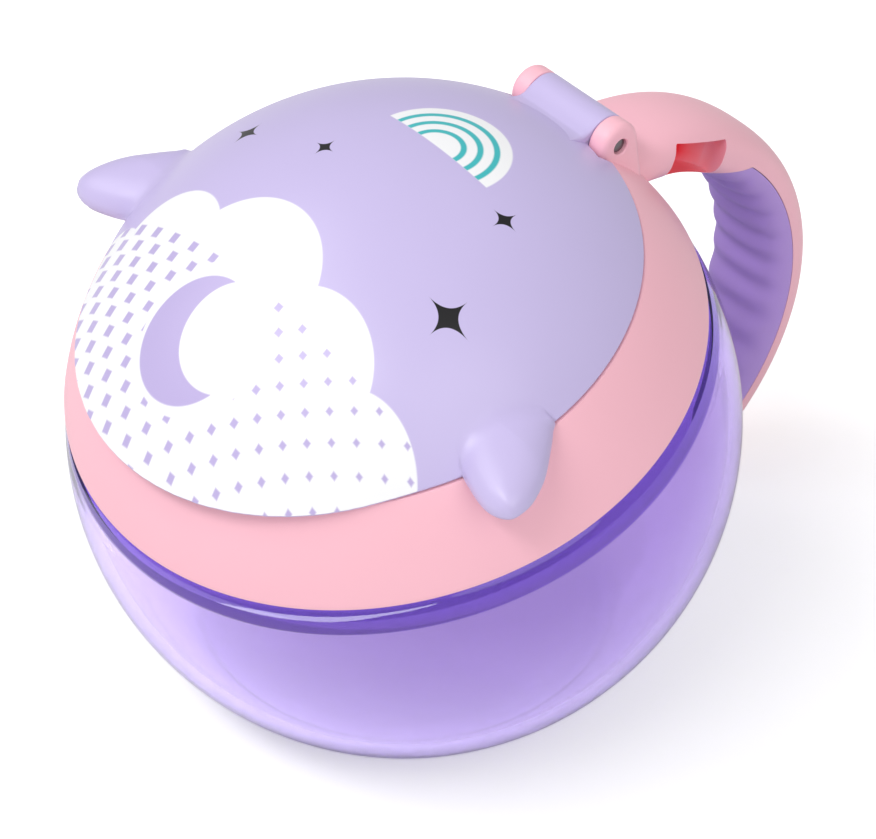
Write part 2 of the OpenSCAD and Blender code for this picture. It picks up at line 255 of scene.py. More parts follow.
# %% Collar ring
COLLAR_EDGE_H, FLANGE_H, MOUTH_R, SEAT_R = 17.3, 27.4, 37.0, 39.2
BORE_R, SKIRT_R, SKIN = 44.8, 46.8, 2.2
low_skin = math.degrees(math.asin(COLLAR_EDGE_H / COLLAR_R))
high_skin = math.degrees(math.asin(RIM_H / COLLAR_R))
skin = arc((0, 0), COLLAR_R, low_skin, high_skin, 14)
under = arc((0, 0), COLLAR_R - SKIN, high_skin, 19.4, 12)
under = [p for p in under if p[1] < FLANGE_H - SKIN]
corners = (
    [(*skin[0], 0.45)] + plain(skin[1:-1]) + [(*skin[-1], 0.4)]
    + [(SEAT_R, RIM_H, 0.3), (SEAT_R, RIM_H - 2.6, 0.2)]
    + [(MOUTH_R, RIM_H - 2.6, 0.5), (MOUTH_R, FLANGE_H, 0.5)]
    + [(BORE_R, FLANGE_H, 0.3), (BORE_R, COLLAR_EDGE_H, 0.4), (SKIRT_R, COLLAR_EDGE_H, 0.4)]
    + [(SKIRT_R, FLANGE_H - SKIN, 0.8), (under[0][0], FLANGE_H - SKIN, 0.8)] + plain(under)
    + [(math.sqrt((COLLAR_R - SKIN) ** 2 - COLLAR_EDGE_H ** 2), COLLAR_EDGE_H, 0.4)])
ring_outline = rounded([corners[-1]] + corners + [corners[0]])[1:-1]
collar_ring = said(lathe("collar_ring", ring_outline, loop=True))

# %% [markdown]
# A knuckle is a plate with a round head and a bore. One band of rings goes round its soft outer
# edge and another lines the bore. Each flat face between the two is filled with triangles, which
# also works for an outline with a hollow in it, where a fan of faces would fold over itself.

# %% Plates with a bore


def offset(points, inset):
    """A closed outline moved inwards by inset, point by point, along its own normals."""
    p = np.asarray(points, float)
    t = np.roll(p, -1, 0) - np.roll(p, 1, 0)
    normal = np.stack([t[:, 1], -t[:, 0]], 1) / (np.linalg.norm(t, axis=1)[:, None] + 1e-9)
    return p - normal * inset


def resample(points, count):
    """A closed outline as count evenly spaced points."""
    p = np.vstack([points, points[:1]])
    run = np.concatenate([[0], np.cumsum(np.linalg.norm(np.diff(p, axis=0), axis=1))])
    where = np.linspace(0, run[-1], count, endpoint=False)
    return np.stack([np.interp(where, run, p[:, 0]), np.interp(where, run, p[:, 1])], 1)


BORE_CHAMFER = 0.2


def bored_plate(name, outline, x0, x1, round0, round1, bore):
    """An upright plate from x0 to x1 with a (depth, height) outline and a bore round the pin.

    round0 and round1 round its two edges. Each is a number, or a function that gives one for
    every point of the outline."""
    shape = resample(outline, 200)
    n = len(shape)
    turn = np.arctan2(shape[:, 1] - PIN[1], shape[:, 0] - PIN[0])
    circle = np.stack([np.cos(turn), np.sin(turn)], 1)
    mouth = bore + BORE_CHAMFER

    def ring(points, x):
        return place(np.stack([np.zeros(n) + x, points[:, 0], points[:, 1]], 1))

    def edge(rounding, x, outward):
        r = rounding(shape) if callable(rounding) else np.full(n, rounding)
        band = []
        for a in np.linspace(0, np.pi / 2, 8):
            inset = (r * (1 - math.sin(a)))[:, None]
            band.append(ring(offset(shape, inset), x - outward * r * (1 - math.cos(a))))
        return band

    rings = edge(round0, x0, -1) + edge(round1, x1, 1)[::-1]
    band_end = len(rings) - 1
    rings += [ring(PIN + mouth * circle, x1), ring(PIN + bore * circle, x1 - BORE_CHAMFER)]
    rings += [ring(PIN + bore * circle, x0 + BORE_CHAMFER), ring(PIN + mouth * circle, x0)]
    faces = []
    for j in range(len(rings) - 1):
        if j != band_end:
            faces += quads(j, j + 1, n)
    for outer, inner in ((band_end, band_end + 1), (0, len(rings) - 1)):
        loops = [[Vector((y * 1000, z * 1000, 0)) for _, y, z in rings[j]] for j in (outer, inner)]
        for face in tessellate_polygon(loops):
            faces.append([(outer if i < n else inner) * n + i % n for i in face])
    return finish_mesh(mesh_object(name, np.concatenate(rings), faces), 30)


KNUCKLE_R, PIN_R = 3.9, 1.25
KNUCKLE_IN, KNUCKLE_OUT = 7.6, 11.0
back_leg = PIN[0] + KNUCKLE_R
knuckle = (
    arc(PIN, KNUCKLE_R, 0, 180, 60)
    + arc((back_leg - 4.3, FLANGE_H - 3.2), 1.6, -170, -100, 6)
    + arc((back_leg - 2.5, FLANGE_H - 3.5), 1.6, -80, -10, 6))
inner_round, outer_round = 0.3, 1.2
sides = [
    bored_plate("knuckle", knuckle, KNUCKLE_IN, KNUCKLE_OUT, inner_round, outer_round, PIN_R + 0.12),
    bored_plate("knuckle", knuckle, -KNUCKLE_OUT, -KNUCKLE_IN, outer_round, inner_round, PIN_R + 0.12)]
collar = said(join([collar_ring] + sides, "collar_ring"))

# %% [markdown]
# ## The lid
#
# The lid is a thin dome. Seen along the mouth's axis its top and its underside are both height
# maps: each point of the plan has one height on top and one below. So its rings are circles of
# the plan, stretched to the outline: round at the back, out to a finger lip at the front, and
# out along each side tab. The tab is a soft pillow whose height depends on the distance to its
# own outline, and a smooth maximum melts it into the dome.

# %% Plan of the lid
LIP_R, LIP_SHIFT, LIP_BLEND, INNER_DOME_R = 51.6, 8.0, 1.2, 52.8
NOTCH_R, NOTCH_FROM, NOTCH_TO = 41.5, 7.4, 11.7


def smooth_max(a, b, width):
    """The larger of two heights, blended where they are within width of each other."""
    h = np.clip(0.5 + 0.5 * (a - b) / width, 0, 1)
    return b + (a - b) * h + width * h * (1 - h)


def dome_height(x, y):
    """Height of the dome with its finger lip: two balls, the lip's set forward, blended."""
    top = np.sqrt(np.maximum(LID_R ** 2 - x * x - y * y, 0))
    lip = np.sqrt(np.maximum(LIP_R ** 2 - x * x - (y + LIP_SHIFT) ** 2, 0))
    return smooth_max(top, lip, LIP_BLEND)


def spline(knots, count=12):
    """A closed smooth curve through its knots."""
    k = np.asarray(knots, float)
    out = []
    for i in range(len(k)):
        p0, p1, p2, p3 = (k[(i + j) % len(k)] for j in (-1, 0, 1, 2))
        for t in np.linspace(0, 1, count, endpoint=False):
            out.append(0.5 * (2 * p1 + (p2 - p0) * t + (2 * p0 - 5 * p1 + 4 * p2 - p3) * t * t
                              + (3 * p1 - p0 - 3 * p2 + p3) * t ** 3))
    return np.array(out)


# Knots of the right tab, from the back of its root out to the tip and back in front
TAB_KNOTS = [
    (43.3, 0.2), (44.9, -1.2), (47.3, -3.9), (50.7, -8.3), (52.6, -12.6), (52.6, -15.8),
    (51.2, -17.3), (48.9, -17.9), (46.8, -17.7), (44.5, -17.1), (42.0, -16.2), (39.6, -14.9),
    (37.0, -12.6), (35.0, -9.5), (34.6, -5.0), (38.4, -1.4)]
tab = spline(TAB_KNOTS)
# Both tabs lie further out than TAB_IN and between these two depths
TAB_IN, TAB_FRONT, TAB_BACK = 33, -20, 3


def depth_there(p):
    """Depth of these points inside the tab's outline, in mm.

    Close to the outline this is the distance to it. Further in it is a mean over the whole
    outline that has no ridge down the middle, as the plain distance has."""
    p = p[:, None]
    start, end = tab[None], np.roll(tab, -1, 0)[None]
    side = end - start
    t = np.clip(((p - start) * side).sum(-1) / (side * side).sum(-1), 0, 1)
    near = np.linalg.norm(p - start - side * t[..., None], axis=-1)
    plain_depth = near.min(1)
    mean = (np.linalg.norm(side, axis=-1) / np.maximum(near, 0.05) ** 4).sum(1) / (math.pi / 2)
    share = np.clip((plain_depth - 0.2) / 0.8, 0, 1)
    depth = plain_depth * (1 - share) + mean ** (-1 / 3) * share
    passes = (start[..., 1] > p[..., 1]) != (end[..., 1] > p[..., 1])
    rise = np.where(side[..., 1] == 0, 1e-9, side[..., 1])
    crossing = side[..., 0] * (p[..., 1] - start[..., 1]) / rise + start[..., 0]
    inside = (passes & (p[..., 0] < crossing)).sum(1) % 2 == 1
    return np.where(inside, depth, -plain_depth)


def tab_depth(x, y):
    """The same for any points: only those round a tab are worked out, a few thousand at a time."""
    flat = np.stack([np.abs(x), y], -1).reshape(-1, 2)
    depth = np.full(len(flat), -5.0)
    close = np.flatnonzero((flat[:, 0] > TAB_IN) & (flat[:, 1] > TAB_FRONT) & (flat[:, 1] < TAB_BACK))
    for some in np.array_split(close, len(close) // 4000 + 1):
        depth[some] = depth_there(flat[some])
    return depth.reshape(np.shape(x))


def pillow(depth, top, wide):
    """Height of a pillow with upright edges, at this depth inside its outline."""
    k = np.clip(depth / wide, 0, 1)
    return top * np.sqrt(np.maximum(1 - (1 - k) ** 2, 0))


TAB_MID, TAB_TOP, TAB_DEEP, TAB_SOFT = 33.1, 3.5, 2.8, 5.2


def lid_top(x, y):
    """Top of the lid: the dome and the tabs, which thicken from the tip to the root.

    Only the back of the root is lower, so that it runs flat into the dome."""
    depth = tab_depth(x, y)
    from_tip = np.clip(50 - 0.76 * np.abs(x) + 0.65 * y, 0, 16)
    by_root = np.clip((y + 7) / 6, 0, 1)
    full = TAB_TOP + 0.04 * from_tip - by_root
    tab_top = TAB_MID + np.where(depth > 0, pillow(depth, full, TAB_SOFT), depth * 3)
    return smooth_max(dome_height(x, y), tab_top, np.where(np.abs(x) > 30, 2.0, 0.01))


def lid_under(x, y):
    """Underside outside the dome's wall: flat, but for the tabs, which clear the collar's skin."""
    far = np.hypot(x, y)
    clear = np.sqrt(np.maximum((COLLAR_R + 0.35) ** 2 - far * far, 0))
    low = np.maximum(TAB_MID - pillow(tab_depth(x, y), TAB_DEEP, TAB_SOFT), np.minimum(EDGE_H, clear))
    return np.where(tab_depth(x, y) > 0, np.minimum(low, TAB_MID), EDGE_H)


print("tab tip:", tab[:, 0].max(), "mm out")

# %% Outline of the lid
# Rays from the middle, closer together at the tabs and at the notches for the knuckles
degrees = np.unique(np.round(np.concatenate(
    [np.arange(-90, 270, 1.0), np.arange(-26, 2, 0.4), np.arange(178, 206, 0.4),
     np.arange(73, 83, 0.25), np.arange(97, 107, 0.25),
     np.arange(-23, -18.4, 0.1), np.arange(198.4, 203, 0.1)]), 3))
turn = np.radians(degrees)
far = np.linspace(0, 56, 1121)
ray_x, ray_y = far[None] * np.cos(turn)[:, None], far[None] * np.sin(turn)[:, None]
in_dome = dome_height(ray_x, ray_y) > EDGE_H + 0.35
in_tab = (tab_depth(ray_x, ray_y) > 0) & (far[None] > 40)
solid = in_dome | in_tab
outline_r = far[solid.shape[1] - 1 - np.argmax(solid[:, ::-1], 1)]
aside = np.abs(outline_r * np.cos(turn))
notch = (aside > NOTCH_FROM) & (aside < NOTCH_TO) & (np.sin(turn) > 0)
outline_r = np.where(notch, NOTCH_R, outline_r)
# Where the outline leaps, more rays share the leap, so that no face there is long and thin
LEAP = 0.3
leap = np.abs(np.diff(outline_r, append=outline_r[0]))
shares = np.maximum(np.ceil(leap / LEAP), 1).astype(int)
ray = np.concatenate([i + np.arange(n) / n for i, n in enumerate(shares)])
turn = np.interp(ray, np.arange(len(turn) + 1), np.append(turn, turn[0] + 2 * np.pi))
outline_r = np.interp(ray, np.arange(len(leap) + 1), np.append(outline_r, outline_r[0]))
print("lid reaches", outline_r.min(), "to", outline_r.max(), "mm")

# %% Lid shell
# The rings are circles up to ROUND_R and take on the lid's outline further out
ROUND_R, UNDER_R, PLUG_R, PLUG_IN_R, PLUG_LOW = 43.5, 41.2, 38.9, 37.3, 30.1
k = np.linspace(0, 1, 78)
steps = 0.45 * k + 0.55 * np.sin(k * np.pi / 2)


def lid_ring(r, heights):
    return place(np.stack([r * np.cos(turn), r * np.sin(turn), heights], 1))


rings = []
for s in steps:
    outward = np.clip((s - 0.6) / 0.4, 0, 1) ** 2
    r = s * (ROUND_R + (outline_r - ROUND_R) * outward)
    rings.append(lid_ring(r, lid_top(r * np.cos(turn), r * np.sin(turn))))
edge = lid_top(outline_r * np.cos(turn), outline_r * np.sin(turn))
under_edge = lid_under(outline_r * np.cos(turn), outline_r * np.sin(turn))
for drop, back in ((0.5, 0.0), (0.85, 0.06), (1.0, 0.25)):
    r = outline_r - back
    rings.append(lid_ring(r, edge + (under_edge - edge) * drop))
for s in np.linspace(0, 1, 14)[1:]:
    r = (outline_r - 0.25) * (1 - s) + UNDER_R * s
    rings.append(lid_ring(r, lid_under(r * np.cos(turn), r * np.sin(turn))))
inside = [(r, math.sqrt(INNER_DOME_R ** 2 - r * r)) for r in np.linspace(36, 0, 16)]
inner = rounded(
    [(UNDER_R, EDGE_H, 0), (UNDER_R, 33.0, 0), (38.95, 35.6, 0.6), (PLUG_R, PLUG_LOW, 0.5)]
    + [(PLUG_IN_R, PLUG_LOW, 0.5), (PLUG_IN_R, 37.4, 1.0)] + plain(inside))
for r, z in inner[1:]:
    rings.append(lid_ring(np.full(len(turn), r), np.full(len(turn), z)))
dome = said(stack("lid_dome", rings, sharp=38))

# %% [markdown]
# A lug ties the hinge barrel to the dome. From the side it is a barrel and a hollow that runs
# tangent to both, and it uses the same bored plate as the knuckles. The dome falls away to both
# sides, so away from the barrel the plate is lowered to follow it.

# %% Hinge lug
HOLLOW_R = 8.0
pin_far = math.hypot(*PIN)
to_dome, to_pin = LID_R + HOLLOW_R, KNUCKLE_R + HOLLOW_R
toward_pin = (to_dome ** 2 - to_pin ** 2 + pin_far ** 2) / (2 * pin_far)
off_line = math.sqrt(to_dome ** 2 - toward_pin ** 2)
unit = np.array(PIN) / pin_far
hollow = toward_pin * unit + off_line * np.array([-unit[1], unit[0]])
from_dome = math.degrees(math.atan2(-hollow[1], -hollow[0]))
from_pin = math.degrees(math.atan2(PIN[1] - hollow[1], PIN[0] - hollow[0]))
meets = math.degrees(math.atan2(hollow[1] - PIN[1], hollow[0] - PIN[0]))
touch = math.degrees(math.atan2(hollow[1], hollow[0]))
lug = (
    arc(PIN, KNUCKLE_R, -150, meets, 60)
    + arc(hollow, HOLLOW_R, from_pin, from_dome % 360 - 360, 40)[1:]
    + arc((0, 0), LID_R - 0.12, touch + 0.6, touch + 3, 6)
    + arc((0, 0), LID_R - 1.3, touch + 2, 38.6, 16))
LUG_HALF_W = 7.5


def lug_rounding(points):
    """Small on the barrel, which meets the knuckles, and larger down the plate."""
    up = np.hypot(points[:, 0], points[:, 1]) - LID_R
    from_barrel = np.hypot(points[:, 0] - PIN[0], points[:, 1] - PIN[1]) - KNUCKLE_R
    return np.minimum(np.clip(up * 0.6, 0.05, 0.9), 0.3 + 0.6 * np.clip(from_barrel / 1.2, 0, 1))


lug_piece = bored_plate("hinge_lug", lug, -LUG_HALF_W, LUG_HALF_W, lug_rounding, lug_rounding, PIN_R + 0.05)
spots = np.zeros(len(lug_piece.data.vertices) * 3, np.float32)
lug_piece.data.vertices.foreach_get("co", spots)
spots = spots.reshape(-1, 3)
across, ahead, up = spots[:, 0] * 1000, spots[:, 1] * 1000, spots[:, 2] * 1000 - BALL_HEIGHT
out = ahead * math.cos(LEAN) + up * math.sin(LEAN)
raised = up * math.cos(LEAN) - ahead * math.sin(LEAN)
away = np.clip((np.hypot(out - PIN[0], raised - PIN[1]) - KNUCKLE_R) / 2, 0, 1)
fall = away * (np.sqrt(LID_R ** 2 - out ** 2) - np.sqrt(LID_R ** 2 - out ** 2 - across ** 2)) / 1000
spots += np.stack([0 * fall, fall * math.sin(LEAN), -fall * math.cos(LEAN)], 1)
lug_piece.data.vertices.foreach_set("co", spots.ravel())
lid = said(join([dome, lug_piece], "lid_dome"))

# %% [markdown]
# ## Node trees by short calls
#
# The handle, the screw threads and all the finishes are node trees. Their maths is easier to
# read as Python, so one small class wraps a socket and lets sums and products of it make the
# Math nodes, in a material and in a geometry tree alike.

# %% Field maths


class Field:
    """A number that varies over a shape: a node's output that can be added, multiplied and compared."""

    def __init__(self, tree, socket):
        self.tree, self.socket = tree, socket

    def math(self, operation, *others):
        node = self.tree.nodes.new("ShaderNodeMath")
        node.operation = operation
        for slot, value in zip(node.inputs, (self,) + others):
            feed(self.tree, value, slot)
        return Field(self.tree, node.outputs[0])

    def __add__(self, other):
        return self.math("ADD", other)

    __radd__ = __add__

    def __sub__(self, other):
        return self.math("SUBTRACT", other)

    def __rsub__(self, other):
        return self.math("MULTIPLY", -1.0) + other

    def __mul__(self, other):
        return self.math("MULTIPLY", other)

    __rmul__ = __mul__

    def __truediv__(self, other):
        return self.math("DIVIDE", other)

    def __rtruediv__(self, other):
        return self.math("POWER", -1.0) * other

    def __abs__(self):
        return self.math("ABSOLUTE")

    def __pow__(self, other):
        return self.math("POWER", other)

    def least(self, other):
        return self.math("MINIMUM", other)

    def most(self, other):
        return self.math("MAXIMUM", other)

    def sine(self):
        return self.math("SINE")

    def cosine(self):
        return self.math("COSINE")

    def sign(self):
        return self.math("SIGN")

    def held(self):
        """The value kept between 0 and 1."""
        return self.most(0.0).least(1.0)

    def ramp(self, low, high):
        """0 below low, 1 above high, and a straight slope between them."""
        return ((self - low) / (high - low)).held()


def feed(tree, value, slot):
    """Links a field or a socket to a slot, or sets the slot to a plain value."""
    if isinstance(value, Field):
        tree.links.new(value.socket, slot)
    elif isinstance(value, bpy.types.NodeSocket):
        tree.links.new(value, slot)
    else:
        slot.default_value = value


def add(tree, kind, feeds=None, **settings):
    """A node of this kind, with its settings and what feeds its inputs."""
    node = tree.nodes.new(kind)
    for name, value in settings.items():
        setattr(node, name, value)
    for name, value in (feeds or {}).items():
        feed(tree, value, node.inputs[name])
    return node


def mixed(tree, factor, a, b):
    """Colour a where factor is 0 and colour b where it is 1."""
    node = add(tree, "ShaderNodeMix", data_type="RGBA")
    for slot, value in zip((0, 6, 7), (factor, a, b)):
        feed(tree, value, node.inputs[slot])
    return node.outputs[2]


print("field maths ready")

# %% [markdown]
# ## Finishes
#
# Moulded plastic looks even from afar, but up close its colour drifts a little where the melt
# flowed, its gloss is broken by a fine spark-eroded grain, and it gathers faint rubs. Each
# finish is built the same way: a base colour with a slow drift, a roughness with a fine grain,
# and a bump too small to see as relief.

# %% Helpers for finishes


def linear(*srgb):
    """A colour picked as 0-255 screen values, as the linear colour that shaders use."""
    c = [v / 255 for v in srgb]
    return tuple(v / 12.92 if v <= 0.04045 else ((v + 0.055) / 1.055) ** 2.4 for v in c) + (1.0,)


def finish(name, **constants):
    """A new material and its tree, with constant values set on the shader's own sockets."""
    material = bpy.data.materials.new(name)
    material.use_nodes = True
    shader = material.node_tree.nodes["Principled BSDF"]
    for socket, value in constants.items():
        shader.inputs[socket.replace("_", " ")].default_value = value
    return material, material.node_tree, shader


def mouth_coordinates(tree):
    """Where a point lies in the mouth's frame, as a vector and as three fields, in mm."""
    c, s = math.cos(LEAN), math.sin(LEAN)
    spot = add(tree, "ShaderNodeTexCoord").outputs["Object"]
    turned_back = {"Vector": spot, "Scale": (1000, 1000, 1000), "Rotation": (-LEAN, 0, 0),
                   "Location": (0, -BALL_HEIGHT * s, -BALL_HEIGHT * c)}
    mapped = add(tree, "ShaderNodeMapping", turned_back).outputs[0]
    parts = add(tree, "ShaderNodeSeparateXYZ", {0: mapped})
    return mapped, [Field(tree, out) for out in parts.outputs]


def noise(tree, vector, scale, detail=2.0):
    """Smooth noise from 0 to 1, with this many waves to the millimetre."""
    node = add(tree, "ShaderNodeTexNoise", {"Vector": vector, "Scale": scale, "Detail": detail})
    return Field(tree, node.outputs[0])


def dress(tree, shader, vector, colour, rough, grain=0.035, bump=0.02, size=3.2):
    """Gives a plastic its drifting colour, grained roughness and fine bump."""
    drift = noise(tree, vector, 0.03).ramp(0.3, 0.7)
    value = drift * 0.03 + 0.985
    drifting = add(tree, "ShaderNodeHueSaturation", {"Color": colour, "Value": value}).outputs[0]
    feed(tree, drifting, shader.inputs["Base Color"])
    fine = noise(tree, vector, size, 3.0)
    rub = noise(tree, vector, 0.11, 4.0).ramp(0.55, 0.75)
    feed(tree, fine * grain + rub * 0.03 + (rough - grain / 2), shader.inputs["Roughness"])
    relief = add(tree, "ShaderNodeBump", {"Strength": bump, "Distance": 0.0002, "Height": fine})
    feed(tree, relief.outputs[0], shader.inputs["Normal"])


def plain_finish(name, colour, rough, grain=0.035, **constants):
    """A finish of one colour all over."""
    material, tree, shader = finish(name, **constants)
    vector, _ = mouth_coordinates(tree)
    dress(tree, shader, vector, colour, rough, grain)
    return material


pink = plain_finish("pink_plastic", linear(251, 190, 204), 0.42)
grip_purple = plain_finish("soft_grip", linear(183, 150, 222), 0.6)
silicone = plain_finish("flap_silicone", linear(226, 220, 246), 0.42, Transmission_Weight=0.35, IOR=1.41)
steel = plain_finish("pin_steel", linear(120, 114, 118), 0.3, grain=0.1, Metallic=1.0)
print("plain finishes:", [material.name for material in (pink, grip_purple, silicone, steel)])

# %% [markdown]
# The bowl is tinted and clear, and its dye is in the plastic, not on it: the longer the path in
# the wall, the deeper the colour, so a volume takes the light. A renderer cuts the longest paths
# short, so the surface has a tint of its own as well. That tint also carries painted shade: it
# darkens up the ball and towards +x, and a dark band of painted shade lies in the thick shoulder
# under the collar, where the collar's shade shows through.

# %% Tinted bowl
tinted, tree, shader = finish("tinted_bowl", Transmission_Weight=0.93, IOR=1.5)
vector, (mx, my, mz) = mouth_coordinates(tree)
SHOULDER_FROM = 13.2
# Painted shade: the surface tint darkens up the ball and towards +x, the shaded side.
painted_shade_up_and_aside = (mz * 0.6 + mx * 0.5).ramp(6, 30)
# Painted shade: a dark violet band in the shoulder, where the collar's shade shows through.
painted_shoulder_shade = (mz + mx * 0.018).ramp(SHOULDER_FROM, SHOULDER_FROM + 0.2)
dye_tint_and_painted_shade = mixed(tree, painted_shade_up_and_aside, linear(246, 239, 253), linear(186, 166, 206))
dye_tint_and_painted_shade = mixed(tree, painted_shoulder_shade, dye_tint_and_painted_shade, linear(98, 64, 170))
dress(tree, shader, vector, dye_tint_and_painted_shade, 0.03, grain=0.012, bump=0.004, size=1.4)
dye = add(tree, "ShaderNodeVolumeAbsorption", {"Color": (0.48, 0.3, 0.92, 1), "Density": 130.0})
feed(tree, dye.outputs[0], tree.nodes["Material Output"].inputs["Volume"])
print("bowl nodes:", len(tree.nodes))

# %% [markdown]
# The lid's print is a sky: a bank of cloud along the finger lip with a moon and rows of small
# squares on it, a little rainbow by the hinge and a few dark sparkles. Each motif is a mask
# worked out from the plan coordinates, with an edge a tenth of a millimetre soft, as pad
# printing has.

# %% Sky print on the lid
PRINT_EDGE = 0.12
lilac, tree, shader = finish("printed_lid")
vector, (mx, my, mz) = mouth_coordinates(tree)


def disc(x, y, r):
    """1 inside a circle of the plan and 0 outside."""
    far = ((mx - x) ** 2 + (my - y) ** 2) ** 0.5
    return 1 - far.ramp(r - PRINT_EDGE, r + PRINT_EDGE)


def sparkle(x, y, r):
    """A star with four hollow-sided points."""
    spread = (abs(mx - x) ** 0.5 + abs(my - y) ** 0.5) ** 2
    return 1 - spread.ramp(r - PRINT_EDGE, r + PRINT_EDGE)


cloud = 1 - my.ramp(-24 - PRINT_EDGE, -24 + PRINT_EDGE)
for x, y, r in ((-33, -27, 8), (-20, -22, 11), (-2, -20, 14), (16, -23, 11), (30, -27, 9)):
    cloud = cloud.most(disc(x, y, r))
cloud = cloud * (1 - abs(mx).ramp(39.6, 39.8))
moon = (disc(-1, -30, 9.5) - disc(4, -27, 8.2)).most(0.0)
SPACING = 5.2
row = (my / (SPACING * 0.5)).math("FLOOR")
across = (mx / SPACING + row * 0.5).math("FRACT") * SPACING - SPACING / 2
down = my - (row + 0.5) * (SPACING * 0.5)
clear_of_moon = 1 - disc(0, -29, 11.5)
half_size = 0.95 - mx.ramp(-34, 32) * 0.6
from_square = abs(across).most(abs(down)) - half_size
low_rows = 1 - row.ramp(-7.9, -7.1)
squares = (1 - from_square.ramp(-PRINT_EDGE, PRINT_EDGE)) * clear_of_moon * low_rows
RAINBOW = (3.0, 17.0)
bow_far = ((mx - RAINBOW[0]) ** 2 + (my - RAINBOW[1]) ** 2) ** 0.5
upper = my.ramp(RAINBOW[1] - PRINT_EDGE, RAINBOW[1] + PRINT_EDGE)
bow = (1 - bow_far.ramp(11 - PRINT_EDGE, 11 + PRINT_EDGE)) * upper
stripes = 0.0
for r in (4.0, 6.4, 8.8):
    band = abs(bow_far - r)
    stripes = (1 - band.ramp(0.45 - PRINT_EDGE, 0.45 + PRINT_EDGE)).most(stripes)
dark = 0.0
for x, y, r in ((27, -3, 4.0), (-26, 2, 3.0), (20, 15, 2.4), (-9, 5, 2.2)):
    dark = sparkle(x, y, r).most(dark)
outer = (mx ** 2 + my ** 2 + mz ** 2) ** 0.5
on_top = outer.ramp(53.6, 53.8) * mz.ramp(32.95, 33.05)
BASE, WHITE = linear(198, 186, 228), linear(246, 246, 248)
colour = mixed(tree, cloud.most(bow) * on_top, BASE, WHITE)
colour = mixed(tree, moon.most(squares * cloud) * on_top, colour, linear(188, 174, 220))
colour = mixed(tree, stripes * bow * on_top, colour, linear(60, 185, 190))
colour = mixed(tree, dark * on_top, colour, linear(16, 14, 18))
dress(tree, shader, vector, colour, 0.32)
print("print nodes:", len(tree.nodes))

# %% [markdown]
# ## The handle
#
# The handle is one section carried along a bent path: a rounded box that turns slowly into a
# slimmer one, with waves on its inner side for the fingers. A geometry tree says it as a rule.
# A flat grid gives every point a place along the path and a place round the section, and Set
# Position sends it to where the rule puts it. The same tree makes the hard outer frame and the
# soft inner grip, which meet on the surface that splits the section in two.

# %% Geometry trees


def geometry_tree(name, sizes):
    """An empty geometry tree with named inputs, and its inputs as fields."""
    tree = bpy.data.node_groups.new(name, "GeometryNodeTree")
    tree.interface.new_socket("Geometry", in_out="OUTPUT", socket_type="NodeSocketGeometry")
    for label, value in sizes.items():
        kind = "NodeSocketInt" if isinstance(value, int) else "NodeSocketFloat"
        tree.interface.new_socket(label, in_out="INPUT", socket_type=kind).default_value = value
    tree.interface.new_socket("Material", in_out="INPUT", socket_type="NodeSocketMaterial")
    inputs = tree.nodes.new("NodeGroupInput")
    return tree, {out.name: Field(tree, out) for out in inputs.outputs if out.name}


def grid_fields(tree, along, round_count):
    """A unit grid and each point's two places on it, from 0 to 1."""
    grid_size = {"Size X": 1.0, "Size Y": 1.0, "Vertices X": along, "Vertices Y": round_count}
    grid = add(tree, "GeometryNodeMeshGrid", grid_size)
    position = add(tree, "GeometryNodeInputPosition").outputs[0]
    spot = add(tree, "ShaderNodeSeparateXYZ", {0: position})
    return grid.outputs[0], Field(tree, spot.outputs[0]) + 0.5, Field(tree, spot.outputs[1]) + 0.5


def close_tree(tree, geometry, size):
    """Ends a tree: its instances made real, its material set."""
    real = add(tree, "GeometryNodeRealizeInstances", {0: geometry}).outputs[0]
    dressed = {"Geometry": real, "Material": size["Material"].socket}
    done = add(tree, "GeometryNodeSetMaterial", dressed).outputs[0]
    feed(tree, done, add(tree, "NodeGroupOutput").inputs[0])


def leaning_vector(tree, x, y, z):
    """Fields in mm in the mouth's frame as a position in metres in the cup's frame."""
    c, s = math.cos(LEAN), math.sin(LEAN)
    parts = {0: x * 0.001, 1: (y * c - z * s) * 0.001, 2: (y * s + z * c + BALL_HEIGHT) * 0.001}
    return add(tree, "ShaderNodeCombineXYZ", parts).outputs[0]


def bake(obj):
    """Keeps what an object's modifiers make of it as its own plain mesh."""
    evaluated = obj.evaluated_get(bpy.context.evaluated_depsgraph_get())
    mesh = bpy.data.meshes.new_from_object(evaluated)
    obj.modifiers.clear()
    obj.data = mesh
    return obj


def grow(name, tree, values, material):
    """Runs a geometry tree and keeps its result."""
    obj = shown(name, bpy.data.meshes.new(name))
    modifier = obj.modifiers.new("rule", "NODES")
    modifier.node_group = tree
    for item in tree.interface.items_tree:
        if item.in_out == "INPUT" and item.name in values:
            modifier[item.identifier] = values[item.name]
        if item.name == "Material":
            modifier[item.identifier] = material
    return bake(obj)


# %% Handle rule
PATH = ((52.5, 21.2), (83.4, 8.0), (85.4, -36.2), (52.5, -48.3))
HALF_W, TIP_HALF_W, HALF_T, TIP_HALF_T = 9.0, 8.0, 4.9, 5.6
GRIP_START, GRIP_FULL, RIB_COUNT, RIB_H = 0.1, 0.26, 12, 0.7
sweep, size = geometry_tree("handle sweep", {
    "Rings": 300, "Round": 90, "From": -0.045, "Inner side": 0.0, "Ribs": float(RIB_COUNT),
    "Rib height": RIB_H, "Section power": 2.6})
grid, u, v = grid_fields(sweep, size["Rings"], size["Round"])
t = size["From"] + (1 - size["From"]) * (1 - (1 - u) ** 1.5)


def on_path(t, k):
    """Depth (k = 0) or height (k = 1) of the path at t, a curve with four corners."""
    s = 1 - t
    p = [corner[k] for corner in PATH]
    return s * s * s * p[0] + s * s * t * (3 * p[1]) + s * t * t * (3 * p[2]) + t * t * t * p[3]


def path_slope(t, k):
    """How fast on_path changes with t."""
    s = 1 - t
    p = [corner[k] for corner in PATH]
    return s * s * (3 * (p[1] - p[0])) + s * t * (6 * (p[2] - p[1])) + t * t * (3 * (p[3] - p[2]))


